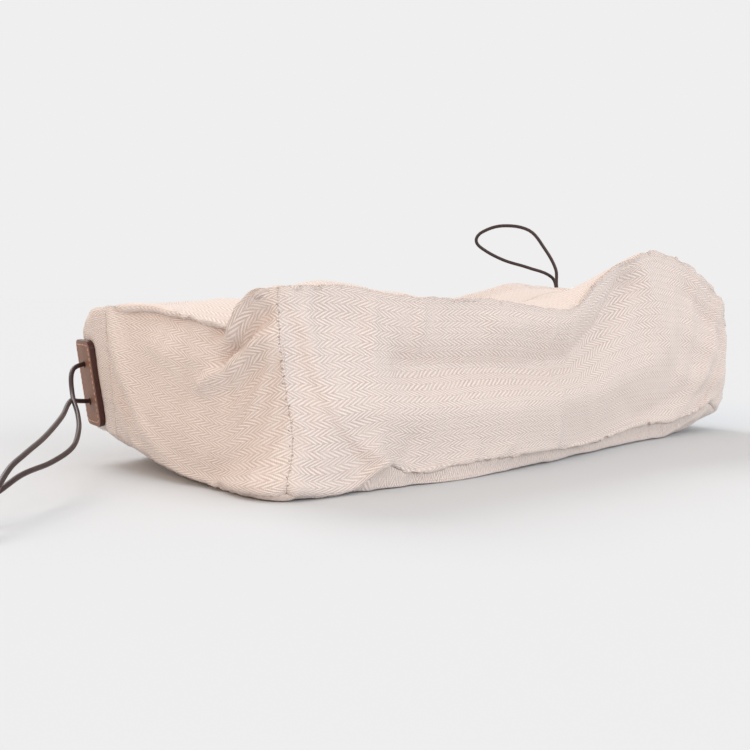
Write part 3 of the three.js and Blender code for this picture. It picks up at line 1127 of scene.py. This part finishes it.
uprights = ["base_left", "base_right"]
# the upright corners' stitches take the dark copy of the thread: painted shade of their stitch holes
makeSeamStitches("cornerStitches", uprights, "shadedCornerThread")
makeSeamStitches("edgeStitches", [key for key in seams if key not in uprights], "hemThread")
for level in levels:
    bendLip(makeHemStitches(level), level)
for end in ends:
    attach(makeHemStitches(end), "bag")
print("stitches ready")


# the tape folded over each seam's raw edges inside the bag

tape = {
    "hold": 4.1, "reach": 7.6, "half": 1.6, "round": 0.9, "thickness": 0.45, "pitch": 5.0, "margin": 9.0,
    "longMargins": {"upper_left": 40.0},    # the left end's top dips steeply near the base
}


def makeBinding(key):
    bm = bmesh.new()
    hold, bend, reach = tape["hold"], tape["reach"] - tape["round"], tape["reach"]
    section = [(hold, 1), (bend, 1), (reach, 0.45), (reach, -0.45), (bend, -1), (hold, -1)]
    margin = tape["longMargins"].get(key, tape["margin"])
    edges, row = [], []
    for place, direction, normal in stations(seams[key], tape["pitch"], margin):
        across = normal.cross(direction).normalized()
        spots = [place + (across * side * tape["half"] - normal * depth) * mm for depth, side in section]
        if not row:
            row = [bm.verts.new(spot) for spot in spots]
            edges = [bm.edges.new(pair) for pair in zip(row, row[1:])]
            continue
        made = bmesh.ops.extrude_edge_only(bm, edges=edges)["geom"]
        edges = [g for g in made if isinstance(g, bmesh.types.BMEdge)]
        fresh = {g for g in made if isinstance(g, bmesh.types.BMVert)}
        row = [next(e.other_vert(v) for e in v.link_edges if e.other_vert(v) in fresh) for v in row]
        for v, spot in zip(row, spots):
            v.co = spot
    name = "binding" + "".join(word.capitalize() for word in key.split("_"))
    piece = addObject(name, meshFrom(bm, name))
    piece.data.materials.append(plain["bindingTape"])
    thick = piece.modifiers.new("thickness", "SOLIDIFY")
    thick.thickness = tape["thickness"] * mm
    thick.offset = 0
    applyModifiers(piece)
    shadeSmooth(piece)
    stand(piece, "bag", "binding_tape", "seam_binding_" + key)


for key in seams:
    makeBinding(key)
print("bindings ready")


# the cord inside the hem, from the hole at one end round the mouth to the hole at the other

def makeCordRun(level):
    cornerZ = bag["height"] if level == "upper" else 0.0
    hole = trim[level + "Hole"]
    depth = hemFold["channel"] / 2 + bag["thickness"] * 0.1
    rows = {"left": [], "right": [], level: []}
    for v, flat, normal in zip(shell.verts, flatPlaces, shellNormals):
        if abs(flat.y - cord["channelY"]) < 0.1:
            for wallName in wallsAt(flat) & set(rows):
                rows[wallName].append((flat, v.co - normal * depth * mm))

    def inHem(wallName):
        # between the corner of the mouth and the hole, starting at the corner
        row = sorted(rows[wallName], key=lambda item: abs(item[0].z - cornerZ))
        last = abs(hole / mm - cornerZ) - cord["fromHole"]
        return [place for flat, place in row if cord["fromCorner"] < abs(flat.z - cornerZ) < last]

    lastX = bag["halfLength"] - cord["fromCorner"]
    run = sorted(rows[level], key=lambda item: item[0].x)
    route = [holePoint(-1, hole, -depth * mm)]
    route += inHem("left")[::-1][::3]
    route += [place for flat, place in run if abs(flat.x) < lastX][::4]
    route += inHem("right")[::3]
    route.append(holePoint(1, hole, -depth * mm))
    piece = makeCordTube("cordRun" + level.capitalize(), smoothRoute(route, 3))
    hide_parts("cord_run_" + level, "cord_rise_left_" + level, "cord_rise_right_" + level)
    bendLip(piece, level)


for level in levels:
    makeCordRun(level)
print("cord runs ready")


# leather patches

patch = {
    "halfWidth": 13.5, "halfHeight": 23.0, "centreZ": 44.0, "corner": 5.0, "face": 3.55, "deeper": 1.3,
    "bevel": 0.6, "bend": 0.5, "strips": 9, "flatWithin": math.radians(4), "rimFrom": math.radians(50),
    "faceFrom": 0.93,
}


def makePatch(side):
    label = "Right" if side > 0 else "Left"
    node = "leather_patch_" + label.lower()
    bm = bmesh.new()
    bm.from_mesh(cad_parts[node].data)
    bmesh.ops.remove_doubles(bm, verts=bm.verts, dist=1e-6)
    bmesh.ops.dissolve_limit(bm, angle_limit=patch["flatWithin"], verts=bm.verts, edges=bm.edges)
    toFlat = trimMatrix(side).inverted()
    bmesh.ops.transform(bm, matrix=toFlat, verts=bm.verts)
    bmesh.ops.scale(bm, vec=(patch["deeper"], 1, 1), verts=bm.verts)
    rims = [e for e in bm.edges if e.is_manifold and e.calc_face_angle(0) > patch["rimFrom"]]
    bmesh.ops.bevel(
        bm, geom=rims, offset=patch["bevel"] * mm, segments=3, profile=0.5, affect="EDGES", material=-1,
    )
    for cut in range(1, patch["strips"]):
        y = mix(-patch["halfWidth"], patch["halfWidth"], cut / patch["strips"]) * mm
        everything = bm.verts[:] + bm.edges[:] + bm.faces[:]
        bmesh.ops.bisect_plane(bm, geom=everything, plane_co=(0, y, 0), plane_no=(0, 1, 0))
    for face in bm.faces:
        # its sides and back are painted
        face.material_index = 0 if face.normal.x > patch["faceFrom"] else 1
    for v in bm.verts:
        v.co.x -= patchDip(v.co.y)
    bmesh.ops.triangulate(bm, faces=[f for f in bm.faces if len(f.verts) > 4])
    bmesh.ops.transform(bm, matrix=leanMatrix(side), verts=bm.verts)
    name = "leatherPatch" + label
    piece = addObject(name, meshFrom(bm, name))
    piece.data.materials.append(leather)
    piece.data.materials.append(plain["patchEdge"])
    stand(piece, "bag", "patch_leather", node)
    makePatchStitches(side, label)


def patchDip(y):
    # the patch is bent over the hem
    return patch["bend"] * mm * (y / (patch["halfWidth"] * mm)) ** 2


def makePatchStitches(side, label):
    inset = patchStitch["inset"]
    w, h = patch["halfWidth"] - inset, patch["halfHeight"] - inset
    r = patch["corner"] - inset
    line = []
    for quarter, (right, top) in enumerate([(1, 1), (-1, 1), (-1, -1), (1, -1)]):
        for turn in (0, 30, 60, 90):
            angle = math.radians(90 * quarter + turn)
            y = right * (w - r) + r * math.cos(angle)
            z = top * (h - r) + r * math.sin(angle)
            line.append((Vector((patch["face"], y, patch["centreZ"] + z)) * mm, Vector((1, 0, 0))))
    line.append(line[0])
    bm = bmesh.new()
    for place, direction, normal in stations(line, patchStitch["pitch"], patchStitch["ends"]):
        place.x -= patchDip(place.y)
        addStitch(bm, place, direction, normal, patchStitch)
    bmesh.ops.transform(bm, matrix=leanMatrix(side), verts=bm.verts)
    piece = finishStitches("patchStitches" + label, bm, "patchThread")
    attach(piece, "bag")
    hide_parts("patch_stitching_" + label.lower())


for side in (-1, 1):
    makePatch(side)
print("patches ready")


# floor and light

light = {"sky": 0.863, "floor": (0.649, 0.672, 0.694, 1), "floorSize": 60}
suns = {
    "topSun": {"energy": 1.3, "size": 30, "tilt": -47, "roll": 8, "colour": (1, 0.99, 0.98)},
    "frontFill": {"energy": 0.94, "size": 30, "tilt": 71, "roll": 0, "colour": (0.985, 0.99, 1.0)},
    "endFill": {"energy": 0.62, "size": 50, "tilt": 0, "roll": -62, "colour": (1, 0.46, 0.08)},
}


def makeStage():
    bm = bmesh.new()
    bmesh.ops.create_grid(bm, x_segments=1, y_segments=1, size=light["floorSize"])
    floor = addObject("floor", meshFrom(bm, "floor"))
    material = bpy.data.materials.new("floor")
    material.use_nodes = True
    shader = material.node_tree.nodes["Principled BSDF"]
    shader.inputs["Base Color"].default_value = light["floor"]
    shader.inputs["Roughness"].default_value = 1.0
    shader.inputs["Specular IOR Level"].default_value = 0.0
    floor.data.materials.append(material)
    world = bpy.data.worlds.new("sky")
    world.use_nodes = True
    sky = world.node_tree.nodes["Background"]
    sky.inputs["Color"].default_value = (1, 1, 1, 1)
    sky.inputs["Strength"].default_value = light["sky"]
    scene.world = world


def makeSun(name):
    look = suns[name]
    data = bpy.data.lights.new(name, "SUN")
    data.energy = look["energy"]
    data.angle = math.radians(look["size"])
    data.color = look["colour"]
    sun = bpy.data.objects.new(name, data)
    sun.rotation_euler = (math.radians(look["tilt"]), math.radians(look["roll"]), 0)
    scene.collection.objects.link(sun)


makeStage()
for name in suns:
    makeSun(name)
scene.view_settings.view_transform = "Standard"
print("stage ready")
